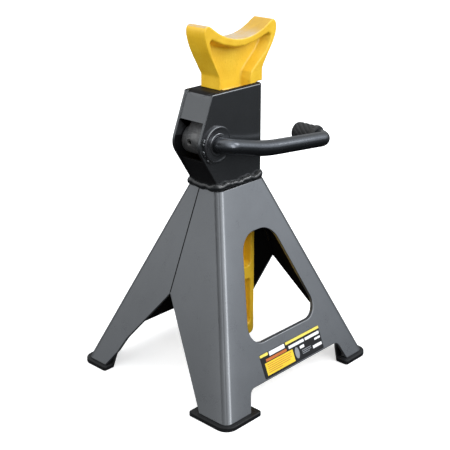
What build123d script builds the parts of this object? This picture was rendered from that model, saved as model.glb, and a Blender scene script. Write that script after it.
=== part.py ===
from build123d import *
import os
from math import atan, cos, hypot, sqrt

os.makedirs("parts", exist_ok=True)

# ----------------------------------------------------------------------------
# Ratchet jack stand, one stand of a pair, saddle fully down.
# Frame: origin on the ground at the centre of the base, +Z up, -Y is the face
# with the label, -X is the side with the pawl, the handle reaches to +X.
# ----------------------------------------------------------------------------

# base pyramid: two identical pressed halves of folded sheet
SHEET = 3.2                 # sheet thickness of the base
FOLD_R = 6.0                # outer radius of the corner folds
Z_LOW, A_LOW, B_LOW = 4.6, 84.3, 80.0        # half widths in X and Y near the ground
Z_HIGH, A_HIGH, B_HIGH = 161.0, 26.1, 16.4   # half widths in X and Y at the neck
FOOT_T = 3.6                # foot plate thickness
SHELL_TOP = 158.0
SEAM_SLOPE = 0.118          # the seam leans round the Z axis: y = -slope * x
CUT_X = 2.7                 # the pressed openings sit this far to +X in the front half

WIN_Z0, WIN_Z1 = 45.5, 123.3
WIN_HW0, WIN_HW1 = 43.0, 15.9
WIN_R0, WIN_R1 = 12.0, 19.0   # its corner radii, bottom and top
GAP_Z = 18.6                # underside of the cross bar
GAP_HW0, GAP_HW1 = 61.0, 53.5
NOTCH_Z = 75.5              # apex of the side notch

FOOT_X, FOOT_Y = 88.0, 84.0 # outer edges of the foot plates

# ratchet housing
H_T = 2.5
H_Y = 15.0
H_XP = 26.5
H_TOP = 236.0
H_TOP_XM = -30.5
H_BULGE = (-46.6, 195.4)
H_LOW = (-27.0, 165.0)
SLOT_TOP = 214.3            # lower edge of the panel over the pawl opening
PANEL_IN = 0.8              # how far that panel sits inside the plates

# pawl shaft and handle, one bent bar
SH_X, SH_Z = -26.5, 196.5
BAR_D = 12.7
ARM_Y = -25.0
KNEE = (18.0, 185.4)
END_X, END_Z = 96.8, 177.3
ARM_END_Y = 5.5
SHAFT_REAR_Y = 20.5
RUN_CLEAR = 0.03            # radial clearance of the shaft in the housing

# ratchet bar
BAR_HY = 10.2
BAR_XP = 23.5
TIP_X, ROOT_X = -13.0, -5.5
BAR_BOTTOM = 18.0
NECK_Z = 236.05
PITCH = 11.6
GROOVES = 14
GROOVE_Z0 = 221.05          # root of the top groove, where the pawl sits
SAD_X = 6.5                 # centre of the saddle
POCKET = 8.2                # depth of the cast pockets

# grip
GRIP_D = 17.5
GRIP_Y0, GRIP_Y1 = -15.8, 8.0


def half_x(z):
    return A_LOW + (A_HIGH - A_LOW) * (z - Z_LOW) / (Z_HIGH - Z_LOW)


def half_y(z):
    return B_LOW + (B_HIGH - B_LOW) * (z - Z_LOW) / (Z_HIGH - Z_LOW)


SLOPE_X = (A_LOW - A_HIGH) / (Z_HIGH - Z_LOW)
SLOPE_Y = (B_LOW - B_HIGH) / (Z_HIGH - Z_LOW)
IN_X = SHEET / cos(atan(SLOPE_X))
IN_Y = SHEET / cos(atan(SLOPE_Y))

# ----------------------------------------------------------------------------
# base: outer and inner pyramids, the bodies the halves are cut from
# ----------------------------------------------------------------------------
with BuildPart() as pyramid_outer:
    with BuildSketch(Plane.XY.offset(FOOT_T)):
        RectangleRounded(2 * half_x(FOOT_T), 2 * half_y(FOOT_T), FOLD_R)
    with BuildSketch(Plane.XY.offset(SHELL_TOP)):
        RectangleRounded(2 * half_x(SHELL_TOP), 2 * half_y(SHELL_TOP), FOLD_R)
    loft(ruled=True)

with BuildPart() as pyramid_inner:
    with BuildSketch(Plane.XY.offset(FOOT_T - 2)):
        RectangleRounded(2 * (half_x(FOOT_T - 2) - IN_X), 2 * (half_y(FOOT_T - 2) - IN_Y), FOLD_R - SHEET)
    with BuildSketch(Plane.XY.offset(SHELL_TOP + 2)):
        RectangleRounded(2 * (half_x(SHELL_TOP + 2) - IN_X), 2 * (half_y(SHELL_TOP + 2) - IN_Y), FOLD_R - SHEET)
    loft(ruled=True)

seam_plane = Plane(origin=(0, 0, 0), x_dir=(1, -SEAM_SLOPE, 0), z_dir=(-SEAM_SLOPE, -1, 0))

# one pressed half: panel with window and cross bar, long flange on -X, short one on +X


def pressed_half(long_cut, short_cut, apex_long, apex_short):
    with BuildPart() as half:
        add(pyramid_outer.part)
        add(pyramid_inner.part, mode=Mode.SUBTRACT)
        split(bisect_by=seam_plane, keep=Keep.TOP)
        # window in the panel
        with BuildSketch(Plane.XZ) as win_sk:
            with BuildLine():
                Polyline(
                    (CUT_X - WIN_HW0 - 1.2, WIN_Z0), (CUT_X + WIN_HW0, WIN_Z0),
                    (CUT_X + WIN_HW1, WIN_Z1), (CUT_X - WIN_HW1 - 2.0, WIN_Z1), close=True)
            make_face()
            fillet(win_sk.vertices().sort_by(Axis.Y)[2:], WIN_R1)
            fillet(win_sk.vertices().sort_by(Axis.Y)[:2], WIN_R0)
        extrude(amount=100, mode=Mode.SUBTRACT)
        # gap under the cross bar
        with BuildSketch(Plane.XZ):
            with BuildLine():
                FilletPolyline(
                    (CUT_X - GAP_HW0 - 3, -6), (CUT_X - GAP_HW1, GAP_Z),
                    (CUT_X + GAP_HW1, GAP_Z), (CUT_X + GAP_HW0 + 3, -6),
                    radius=6)
                Line((CUT_X + GAP_HW0 + 3, -6), (CUT_X - GAP_HW0 - 3, -6))
            make_face()
        extrude(amount=120, mode=Mode.SUBTRACT)
        # side notches: straight edge on the long flange, a slight bend in the short one's
        with BuildSketch(Plane.YZ):
            with BuildLine():
                FilletPolyline(apex_long, *long_cut, radius=3)
                Polyline(long_cut[-1], (61.0, -0.4), (47.8, 17.6), apex_long)
            make_face()
        extrude(amount=-120, mode=Mode.SUBTRACT)
        with BuildSketch(Plane.YZ):
            with BuildLine():
                FilletPolyline(*short_cut, apex_short, radius=14)
                Polyline(apex_short, (54.5, -0.4), short_cut[0])
            make_face()
        extrude(amount=120, mode=Mode.SUBTRACT)
    return half.part


with BuildPart() as base_front_shell:
    add(pressed_half(
        [(-51.3, 3.6), (-54.5, -0.4)], [(-61.0, -0.4), (-47.8, 17.6), (-38.6, 31.0)], (6.7, NOTCH_Z), (-3.3, NOTCH_Z + 3.0)))
base_front_shell.part.label = "base_front_shell"

# rear half: the same pressing turned half a turn
with BuildPart() as base_rear_shell:
    add(pressed_half(
        [(-53.7, 3.6), (-57.0, -0.4)], [(-61.0, -0.4), (-47.8, 17.6), (-41.5, 29.9)], (3.3, NOTCH_Z + 3.0), (-6.7, NOTCH_Z)).rotate(Axis.Z, 180))
base_rear_shell.part.label = "base_rear_shell"

# seam welds, laid inside the base along both seams
SEAM_Z0, SEAM_Z1, SEAM_R = 92.0, 148.0, 2.0


def seam_bead(side):
    x0, x1 = half_x(SEAM_Z0) - IN_X, half_x(SEAM_Z1) - IN_X
    p0 = Vector(side * x0, -side * SEAM_SLOPE * x0, SEAM_Z0)
    p1 = Vector(side * x1, -side * SEAM_SLOPE * x1, SEAM_Z1)
    return p0, p1


p0, p1 = seam_bead(-1)
with BuildPart() as left_seam_weld:
    with BuildSketch(Plane(origin=p0, z_dir=p1 - p0)):
        Circle(SEAM_R)
    extrude(amount=(p1 - p0).length)
    fillet(left_seam_weld.edges().filter_by(GeomType.CIRCLE), 1.0)
    add(pyramid_inner.part, mode=Mode.INTERSECT)
left_seam_weld.part.label = "left_seam_weld"

p0, p1 = seam_bead(1)
with BuildPart() as right_seam_weld:
    with BuildSketch(Plane(origin=p0, z_dir=p1 - p0)):
        Circle(SEAM_R)
    extrude(amount=(p1 - p0).length)
    fillet(right_seam_weld.edges().filter_by(GeomType.CIRCLE), 1.0)
    add(pyramid_inner.part, mode=Mode.INTERSECT)
right_seam_weld.part.label = "right_seam_weld"

# ----------------------------------------------------------------------------
# feet: a plate under each leg, its outer corner well rounded. The legs with the
# long flange have the larger plate, the others one with its inner corner cut off.
# ----------------------------------------------------------------------------
with BuildPart() as foot_front_left:
    with BuildSketch() as foot_sk:
        with BuildLine():
            Polyline((-FOOT_X, -FOOT_Y), (-49.0, -FOOT_Y), (-49.0, -43.0), (-FOOT_X, -43.0), close=True)
        make_face()
        fillet(foot_sk.vertices().sort_by(SortBy.DISTANCE)[3:], 10)
        fillet(foot_sk.vertices().sort_by(SortBy.DISTANCE)[:3], 2.5)
    extrude(amount=FOOT_T)
    fillet(foot_front_left.faces().sort_by(Axis.Z)[-1].edges(), 0.8)
foot_front_left.part.label = "foot_front_left"

with BuildPart() as foot_front_right:
    with BuildSketch() as foot_sk2:
        with BuildLine():
            Polyline((FOOT_X, -FOOT_Y), (57.5, -FOOT_Y), (57.5, -73.0), (78.0, -55.0), (FOOT_X, -55.0), close=True)
        make_face()
        fillet(foot_sk2.vertices().sort_by(SortBy.DISTANCE)[4:], 10)
        fillet(foot_sk2.vertices().sort_by(SortBy.DISTANCE)[:4], 2.0)
    extrude(amount=FOOT_T)
    fillet(foot_front_right.faces().sort_by(Axis.Z)[-1].edges(), 0.8)
foot_front_right.part.label = "foot_front_right"
with BuildPart() as foot_rear_left:
    add(foot_front_right.part.rotate(Axis.Z, 180))
foot_rear_left.part.label = "foot_rear_left"
with BuildPart() as foot_rear_right:
    with BuildSketch() as foot_sk3:
        with BuildLine():
            Polyline((FOOT_X, FOOT_Y), (49.0, FOOT_Y), (49.0, 49.5), (FOOT_X, 49.5), close=True)
        make_face()
        fillet(foot_sk3.vertices().sort_by(SortBy.DISTANCE)[3:], 10)
        fillet(foot_sk3.vertices().sort_by(SortBy.DISTANCE)[:3], 2.5)
    extrude(amount=FOOT_T)
    fillet(foot_rear_right.faces().sort_by(Axis.Z)[-1].edges(), 0.8)
foot_rear_right.part.label = "foot_rear_right"

# fillet welds in the inner corner of each leg, two a foot
WELD_LEG = 3.2
xi, yi = half_x(FOOT_T) - IN_X, half_y(FOOT_T) - IN_Y
with BuildPart() as foot_welds:
    # along the side flanges
    for sy in (-1, 1):
        with BuildSketch(Plane.XZ.offset(-sy * 60.0)):
            for sx in (-1, 1):
                with BuildLine():
                    Polyline(
                        (sx * xi, FOOT_T), (sx * (xi - WELD_LEG), FOOT_T),
                        (sx * (xi - SLOPE_X * WELD_LEG), FOOT_T + WELD_LEG), close=True)
                make_face()
        extrude(amount=-sy * 11.0)
    # along the front and rear flanges
    for sx in (-1, 1):
        with BuildSketch(Plane.YZ.offset(sx * 60.5)):
            for sy in (-1, 1):
                with BuildLine():
                    Polyline(
                        (sy * yi, FOOT_T), (sy * (yi - WELD_LEG), FOOT_T),
                        (sy * (yi - SLOPE_Y * WELD_LEG), FOOT_T + WELD_LEG), close=True)
                make_face()
        extrude(amount=sx * 14.0)
foot_welds.part.label = "foot_welds"

# ----------------------------------------------------------------------------
# ratchet housing: one sheet wrapped round the bar, with a pawl chamber on -X
# ----------------------------------------------------------------------------
H_PTS = [(H_XP, SHELL_TOP), (H_XP, H_TOP), (H_TOP_XM, H_TOP), H_BULGE, H_LOW, (H_LOW[0], SHELL_TOP)]

with BuildPart() as housing_solid:
    with BuildSketch(Plane.XZ) as h_sk:
        with BuildLine():
            Polyline(*H_PTS, close=True)
        make_face()
        fillet(h_sk.vertices().sort_by(Axis.X)[0], 14)
    extrude(amount=H_Y, both=True)
    # folds on +X; on -X both plates end in a cut edge
    fillet(housing_solid.edges().filter_by(Axis.Z).filter_by(lambda e: e.center().X > 20), 4.0)
    fillet(housing_solid.faces().sort_by(Axis.Z)[-1].edges(), 1.6)

k = hypot(H_TOP_XM - H_BULGE[0], H_TOP - H_BULGE[1]) / (H_TOP - H_BULGE[1])
s_up = (H_TOP_XM - H_BULGE[0]) / (H_TOP - H_BULGE[1])


def panel_x(z, inset):
    return H_TOP_XM - s_up * (H_TOP - z) + inset * k


with BuildPart() as ratchet_housing:
    add(housing_solid.part)
    # room inside, open to -X between the plates
    with BuildSketch(Plane.XZ):
        with BuildLine():
            Polyline(
                (H_XP - H_T, SHELL_TOP - 1), (H_XP - H_T, H_TOP - H_T), (TIP_X - 0.6, H_TOP - H_T), (TIP_X - 0.6, H_TOP + 1),
                (-60, H_TOP + 1), (-60, SHELL_TOP - 1), close=True)
        make_face()
    extrude(amount=H_Y - H_T, both=True, mode=Mode.SUBTRACT)
    # panel over the pawl opening, set a little inside the plates and rolled over at the top
    with BuildSketch(Plane.XZ) as panel_sk:
        with BuildLine():
            Polyline(
                (panel_x(SLOT_TOP, PANEL_IN), SLOT_TOP), (panel_x(H_TOP, PANEL_IN), H_TOP), (TIP_X - 0.6, H_TOP),
                (TIP_X - 0.6, H_TOP - H_T), (panel_x(H_TOP - H_T, PANEL_IN + H_T), H_TOP - H_T),
                (panel_x(SLOT_TOP, PANEL_IN + H_T), SLOT_TOP), close=True)
        make_face()
        fillet(panel_sk.vertices().sort_by_distance((panel_x(H_TOP, PANEL_IN), H_TOP, 0))[0], 7.0)
        fillet(panel_sk.vertices().sort_by_distance((panel_x(H_TOP - H_T, PANEL_IN + H_T), H_TOP - H_T, 0))[0], 4.5)
    extrude(amount=H_Y - H_T + 0.2, both=True)
    # closed panel under the pawl, leaning in to the neck
    with BuildSketch(Plane.XZ):
        with BuildLine():
            Polyline(
                (H_LOW[0], SHELL_TOP), (H_LOW[0], H_LOW[1] - 0.5), (-36.6, 183.0), (-33.6, 183.0),
                (H_LOW[0] + 2.8, H_LOW[1]), (H_LOW[0] + 2.8, SHELL_TOP), close=True)
        make_face()
    extrude(amount=H_Y - H_T + 0.2, both=True)
    # top opening for the bar
    with BuildSketch(Plane.XY.offset(H_TOP - H_T - 1)):
        with Locations(((TIP_X - 0.6 + H_XP - H_T) / 2, 0)):
            Rectangle(H_XP - H_T - TIP_X + 0.6, 2 * (BAR_HY + 0.4))
    extrude(amount=H_T + 3, mode=Mode.SUBTRACT)
    # shaft holes in both plates
    with Locations(Plane(origin=(SH_X, 0, SH_Z), z_dir=(0, 1, 0))):
        Cylinder(BAR_D / 2 + RUN_CLEAR, 60, mode=Mode.SUBTRACT)
ratchet_housing.part.label = "ratchet_housing"

# weld bead that joins the housing to the top of the base
with BuildPart() as neck_weld:
    with BuildSketch(Plane.XY.offset(156.6)):
        RectangleRounded(2 * (half_x(156.6) + 0.3), 2 * (half_y(156.6) + 0.3), FOLD_R)
    with BuildSketch(Plane.XY.offset(158.6)):
        RectangleRounded(2 * 28.3, 2 * 18.1, 6.5)
    with BuildSketch(Plane.XY.offset(161.4)):
        RectangleRounded(2 * 28.3, 2 * 17.5, 6.0)
    with BuildSketch(Plane.XY.offset(164.2)):
        RectangleRounded(2 * 27.1, 2 * 15.6, 4.6)
    loft(ruled=True)
    add(pyramid_outer.part, mode=Mode.SUBTRACT)
    add(housing_solid.part, mode=Mode.SUBTRACT)
    with BuildSketch(Plane.XY.offset(150)):
        Rectangle(2 * 27.0 - 0.6, 2 * 14.9)
    extrude(amount=30, mode=Mode.SUBTRACT)
neck_weld.part.label = "neck_weld"

# bearing rings round the shaft, outside both plates
with BuildPart() as front_bearing_ring:
    with BuildSketch(Plane(origin=(SH_X, -H_Y, SH_Z), x_dir=(1, 0, 0), z_dir=(0, -1, 0))):
        Circle(14.6)
        Circle(BAR_D / 2 + RUN_CLEAR, mode=Mode.SUBTRACT)
    extrude(amount=2.4)
    fillet(front_bearing_ring.faces().sort_by(Axis.Y)[0].edges().filter_by(GeomType.CIRCLE), 0.9)
front_bearing_ring.part.label = "front_bearing_ring"

with BuildPart() as rear_bearing_ring:
    with BuildSketch(Plane(origin=(SH_X, H_Y, SH_Z), x_dir=(-1, 0, 0), z_dir=(0, 1, 0))):
        Circle(14.6)
        Circle(BAR_D / 2 + RUN_CLEAR, mode=Mode.SUBTRACT)
    extrude(amount=2.4)
    fillet(rear_bearing_ring.faces().sort_by(Axis.Y)[-1].edges().filter_by(GeomType.CIRCLE), 0.9)
rear_bearing_ring.part.label = "rear_bearing_ring"

# guide strips inside the housing, either side of the bar
with BuildPart() as bar_guide_front:
    with BuildSketch(Plane(origin=(0, -(H_Y - H_T), 0), x_dir=(1, 0, 0), z_dir=(0, 1, 0))) as g_sk:
        with Locations((13.0, -180.0)):
            RectangleRounded(20, 36, 3)
    extrude(amount=H_Y - H_T - BAR_HY - 0.2)
bar_guide_front.part.label = "bar_guide_front"
with BuildPart() as bar_guide_rear:
    add(bar_guide_front.part.mirror(Plane.XZ))
bar_guide_rear.part.label = "bar_guide_rear"

# ----------------------------------------------------------------------------
# ratchet bar: casting with the saddle, pocketed both sides, teeth on -X
# ----------------------------------------------------------------------------
S = SAD_X
with BuildPart() as ratchet_bar:
    with BuildSketch(Plane.XZ) as bar_sk:
        with BuildLine():
            Polyline((S - 24.5, 246.2), (S - 24.5, NECK_Z), (TIP_X, NECK_Z))
            FilletPolyline((TIP_X, NECK_Z), (TIP_X, BAR_BOTTOM), (BAR_XP, BAR_BOTTOM), (BAR_XP, NECK_Z), radius=5)
            Polyline((BAR_XP, NECK_Z), (S + 24.5, NECK_Z), (S + 24.5, 246.2))
            Spline((S + 24.5, 246.2), (S + 27.4, 251.2), (S + 31.4, 257.2), (S + 36.6, 264.6), (S + 40.0, 271.4), (S + 40.9, 277.4),
                   tangents=((0.5, 1), (0.0, 1)))
            Spline((S + 40.9, 277.4), (S + 39.4, 281.8), (S + 36.0, 283.4), tangents=((0.0, 1), (-1, -0.12)))
            Spline((S + 36.0, 283.4), (S + 32.6, 281.6), (S + 24.8, 277.4), (S + 15.8, 274.2), (S + 5.6, 272.7), (S - 4.5, 273.1),
                   (S - 14.4, 275.4), (S - 21.7, 278.3), (S - 27.6, 281.7), (S - 32.4, 285.0), (S - 35.6, 286.7),
                   tangents=((-1, -0.4), (-1, 0.35)))
            Spline((S - 35.6, 286.7), (S - 38.8, 285.6), (S - 40.3, 281.6), tangents=((-1, 0.08), (-0.02, -1)))
            Spline((S - 40.3, 281.6), (S - 38.9, 274.2), (S - 35.5, 265.8), (S - 30.4, 256.6), (S - 27.0, 250.6), (S - 24.5, 246.2),
                   tangents=((-0.02, -1), (0.45, -1)))
        make_face()
    extrude(amount=BAR_HY, both=True)
    # saddle pockets, walls sloping in towards the web
    for sgn in (1, -1):
        outer = [(-21.1, 274.0), (-26.4, 276.4), (-28.3, 274.2), (-25.4, 262.6), (-17.0, 246.5), (-15.5, 230.0), (16.9, 230.0),
                 (16.9, 239.0), (18.0, 244.6), (25.4, 251.2), (35.0, 258.4), (40.2, 266.4), (41.3, 271.6), (37.9, 273.6),
                 (30.1, 270.9), (19.7, 268.3), (9.5, 266.8), (-0.4, 267.4), (-12.8, 270.5)]
        inner = [(-19.6, 270.6), (-23.6, 272.2), (-25.0, 270.4), (-22.4, 260.6), (-13.8, 244.8), (-12.2, 233.2), (13.8, 233.2),
                 (13.8, 240.6), (15.2, 246.0), (20.8, 251.6), (29.6, 259.6), (34.8, 266.0), (35.8, 269.0), (33.6, 269.8),
                 (28.6, 268.0), (19.0, 265.6), (9.5, 264.1), (-0.4, 264.7), (-11.9, 267.6)]
        with BuildSketch(Plane(origin=(0, -sgn * (BAR_HY + 0.01), 0), x_dir=(1, 0, 0), z_dir=(0, -1, 0))):
            with BuildLine():
                Polyline(*outer, close=True)
            make_face()
        with BuildSketch(Plane(origin=(0, -sgn * (BAR_HY - POCKET), 0), x_dir=(1, 0, 0), z_dir=(0, -1, 0))):
            with BuildLine():
                Polyline(*inner, close=True)
            make_face()
        loft(ruled=True, mode=Mode.SUBTRACT)
    # column pockets between cross ribs
    for sgn in (1, -1):
        for z0, z1 in ((28, 70), (81, 122), (133, 174), (185, 222)):
            with BuildSketch(Plane(origin=(0, -sgn * (BAR_HY + 0.01), 0), x_dir=(1, 0, 0), z_dir=(0, -1, 0))):
                with Locations((9.7, (z0 + z1) / 2)):
                    RectangleRounded(18.4, z1 - z0, 3.5)
            with BuildSketch(Plane(origin=(0, -sgn * (BAR_HY - POCKET), 0), x_dir=(1, 0, 0), z_dir=(0, -1, 0))):
                with Locations((9.7, (z0 + z1) / 2)):
                    RectangleRounded(12.8, z1 - z0 - 5.6, 1.5)
            loft(ruled=True, mode=Mode.SUBTRACT)
    # ratchet grooves
    with BuildSketch(Plane.XZ):
        for i in range(GROOVES):
            z0 = GROOVE_Z0 - i * PITCH
            rise = (ROOT_X - TIP_X) * 0.5774
            ext = 2.0 * 0.5774
            with BuildLine():
                Polyline((ROOT_X, z0), (TIP_X - 2.0, z0 + rise + ext), (TIP_X - 2.0, z0 - 1.5 - rise - ext + 0.0), (ROOT_X, z0 - 1.5), close=True)
            make_face()
    extrude(amount=BAR_HY + 1, both=True, mode=Mode.SUBTRACT)
ratchet_bar.part.label = "ratchet_bar"

# ----------------------------------------------------------------------------
# pawl: hub round the shaft and a wedge nose that sits in a groove
# ----------------------------------------------------------------------------
HUB_R = 11.2
g = GROOVE_Z0
t30 = 0.5774
arm = [
    (TIP_X - 1.2, g - 0.9 + (ROOT_X - TIP_X + 1.2) * t30), (-18.0, g - 0.2 + (ROOT_X + 16.5) * t30), (-24.0, g - 6.0),
    (-20.0, 200.0), (TIP_X - 1.0, g - 1.2 - (ROOT_X - TIP_X + 1.0) * t30),
]
nose = [
    (ROOT_X - 0.8, g - 0.9 + 0.8 * t30), (TIP_X - 1.2, g - 0.9 + (ROOT_X - TIP_X + 1.2) * t30),
    (-17.0, g - 0.9 + (ROOT_X - TIP_X + 1.2) * t30), (-17.0, g - 1.2 - (ROOT_X - TIP_X + 1.0) * t30),
    (TIP_X - 1.0, g - 1.2 - (ROOT_X - TIP_X + 1.0) * t30), (ROOT_X - 0.8, g - 1.2 - 0.8 * t30),
]
with BuildPart() as pawl:
    # hub across the whole chamber
    with BuildSketch(Plane(origin=(SH_X, -12.2, SH_Z), x_dir=(1, 0, 0), z_dir=(0, 1, 0))):
        Circle(HUB_R)
    extrude(amount=24.4)
    fillet(pawl.edges().filter_by(GeomType.CIRCLE), 1.0)
    # arm and nose
    with BuildSketch(Plane.XZ):
        with Locations((SH_X, SH_Z)):
            Circle(HUB_R - 0.4)
        with BuildLine():
            Polyline(*arm, close=True)
        make_face()
        make_hull()
    extrude(amount=8.6, both=True)
    with BuildSketch(Plane.XZ):
        with BuildLine():
            Polyline(*nose, close=True)
        make_face()
    extrude(amount=8.6, both=True)
    with Locations(Plane(origin=(SH_X, 0, SH_Z), z_dir=(0, 1, 0))):
        Cylinder(BAR_D / 2, 60, mode=Mode.SUBTRACT)
    with Locations(Plane(origin=(SH_X, 3.5, SH_Z), z_dir=(1, 0, 0))):
        Cylinder(2.5, 60, mode=Mode.SUBTRACT)
pawl.part.label = "pawl"

# spring pin through hub and shaft
with BuildPart() as pawl_roll_pin:
    with BuildSketch(Plane(origin=(SH_X - 10.6, 3.5, SH_Z), x_dir=(0, 1, 0), z_dir=(1, 0, 0))):
        Circle(2.5)
        Circle(1.5, mode=Mode.SUBTRACT)
        with Locations((0, 2.0)):
            Rectangle(0.8, 2.4, mode=Mode.SUBTRACT)
    extrude(amount=21.2)
pawl_roll_pin.part.label = "pawl_roll_pin"

# ----------------------------------------------------------------------------
# handle shaft: one round bar, straight through the housing, then bent to the handle
# ----------------------------------------------------------------------------
with BuildPart() as handle_shaft:
    with BuildLine():
        FilletPolyline(
            (SH_X, SHAFT_REAR_Y, SH_Z), (SH_X, ARM_Y, SH_Z), (KNEE[0], ARM_Y, KNEE[1]),
            (END_X, ARM_Y, END_Z), (END_X, ARM_END_Y, END_Z), radius=[8.3, 200, 8.6])
    with BuildSketch(Plane(origin=(SH_X, SHAFT_REAR_Y, SH_Z), z_dir=(0, -1, 0))):
        Circle(BAR_D / 2)
    sweep()
    chamfer(handle_shaft.faces().filter_by(GeomType.PLANE).sort_by(Axis.Y)[-1].edges(), 1.0)
    # groove for the retaining ring
    with BuildSketch(Plane(origin=(SH_X, H_Y + 2.6, SH_Z), z_dir=(0, 1, 0))):
        Circle(BAR_D / 2 + 1)
        Circle(BAR_D / 2 - 0.7, mode=Mode.SUBTRACT)
    extrude(amount=1.3, mode=Mode.SUBTRACT)
    with Locations(Plane(origin=(SH_X, 3.5, SH_Z), z_dir=(1, 0, 0))):
        Cylinder(2.5, 30, mode=Mode.SUBTRACT)
handle_shaft.part.label = "handle_shaft"

with BuildPart() as shaft_retaining_ring:
    with BuildSketch(Plane(origin=(SH_X, H_Y + 2.65, SH_Z), x_dir=(-1, 0, 0), z_dir=(0, 1, 0))):
        Circle(9.4)
        Circle(BAR_D / 2 - 0.7, mode=Mode.SUBTRACT)
        with Locations((0, -8)):
            Rectangle(6.4, 12, mode=Mode.SUBTRACT)
    extrude(amount=1.2)
shaft_retaining_ring.part.label = "shaft_retaining_ring"

# rubber grip: a moulded sleeve with a closed end and a raised collar
with BuildPart() as handle_grip:
    with BuildSketch(Plane(origin=(END_X, 0, END_Z), x_dir=(1, 0, 0), z_dir=(0, 0, 1))):
        with BuildLine():
            Polyline(
                (BAR_D / 2, GRIP_Y0), (GRIP_D / 2 - 0.2, GRIP_Y0), (GRIP_D / 2 + 0.4, GRIP_Y0 + 1.0),
                (GRIP_D / 2 + 0.4, GRIP_Y0 + 4.2), (GRIP_D / 2 - 0.3, GRIP_Y0 + 5.2), (GRIP_D / 2, GRIP_Y1 - 3.0),
                (GRIP_D / 2 - 0.9, GRIP_Y1 - 0.8), (GRIP_D / 2 - 3.2, GRIP_Y1), (0, GRIP_Y1), (0, ARM_END_Y), (BAR_D / 2, ARM_END_Y), close=True)
        make_face()
    revolve(axis=Axis((END_X, 0, END_Z), (0, 1, 0)), revolution_arc=360)
handle_grip.part.label = "handle_grip"

# ----------------------------------------------------------------------------
# label on the front cross bar: a thin sticker on the sloping panel
# ----------------------------------------------------------------------------
LABEL_W, LABEL_H, LABEL_T = 72.0, 19.4, 0.35
LABEL_Z = 29.0
with BuildPart() as label_sticker:
    with BuildSketch(Plane(origin=(CUT_X, -half_y(LABEL_Z), LABEL_Z), x_dir=(1, 0, 0), z_dir=(0, -1, SLOPE_Y))):
        RectangleRounded(LABEL_W, LABEL_H, 1.2)
    extrude(amount=LABEL_T)
label_sticker.part.label = "label_sticker"

for piece in (base_front_shell, base_rear_shell, left_seam_weld, right_seam_weld,
              foot_front_left, foot_front_right, foot_rear_left, foot_rear_right, foot_welds,
              ratchet_housing, neck_weld, front_bearing_ring, rear_bearing_ring, bar_guide_front, bar_guide_rear,
              ratchet_bar, pawl, pawl_roll_pin, handle_shaft, shaft_retaining_ring, handle_grip, label_sticker):
    export_step(piece.part, "parts/" + piece.part.label + ".step")
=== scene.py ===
import math

import bmesh
import bpy
from mathutils import Matrix, Vector, noise


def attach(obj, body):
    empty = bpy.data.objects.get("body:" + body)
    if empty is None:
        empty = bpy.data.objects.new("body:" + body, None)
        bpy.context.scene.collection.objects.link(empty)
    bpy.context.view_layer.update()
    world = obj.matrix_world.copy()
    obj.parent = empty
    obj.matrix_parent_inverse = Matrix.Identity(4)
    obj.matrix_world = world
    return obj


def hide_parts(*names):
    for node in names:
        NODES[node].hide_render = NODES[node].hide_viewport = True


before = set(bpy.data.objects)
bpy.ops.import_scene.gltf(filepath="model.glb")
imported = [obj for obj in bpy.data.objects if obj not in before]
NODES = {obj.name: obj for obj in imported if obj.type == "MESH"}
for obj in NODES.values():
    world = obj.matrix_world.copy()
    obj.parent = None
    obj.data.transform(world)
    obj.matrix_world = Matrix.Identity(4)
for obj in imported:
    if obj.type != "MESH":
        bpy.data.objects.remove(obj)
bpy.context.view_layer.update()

scene = bpy.context.scene
scene.view_settings.view_transform = "Standard"
scene.view_settings.look = "None"
MM = 0.001
SLX, SLY = (84.3 - 26.1) / 156.4, (80.0 - 16.4) / 156.4   # slopes of the base's panels


# ----------------------------------------------------------------------------
# camera
# ----------------------------------------------------------------------------
AZ, EL, DIST = math.radians(-46.64), math.radians(18.394), 0.81889
back = Vector((math.sin(AZ) * math.cos(EL), -math.cos(AZ) * math.cos(EL), math.sin(EL)))
cam_data = bpy.data.cameras.new("camera")
cam = bpy.data.objects.new("camera", cam_data)
scene.collection.objects.link(cam)
cam.location = Vector((0, 0, 0.161)) + back * DIST
cam.rotation_mode = "QUATERNION"
cam.rotation_quaternion = (-back).to_track_quat("-Z", "Y")
cam_data.sensor_width = 36.0
cam_data.lens = 81.869
cam_data.shift_x = -0.0028
cam_data.shift_y = -0.1080
cam_data.clip_start, cam_data.clip_end = 0.01, 60.0
scene.camera = cam


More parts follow.
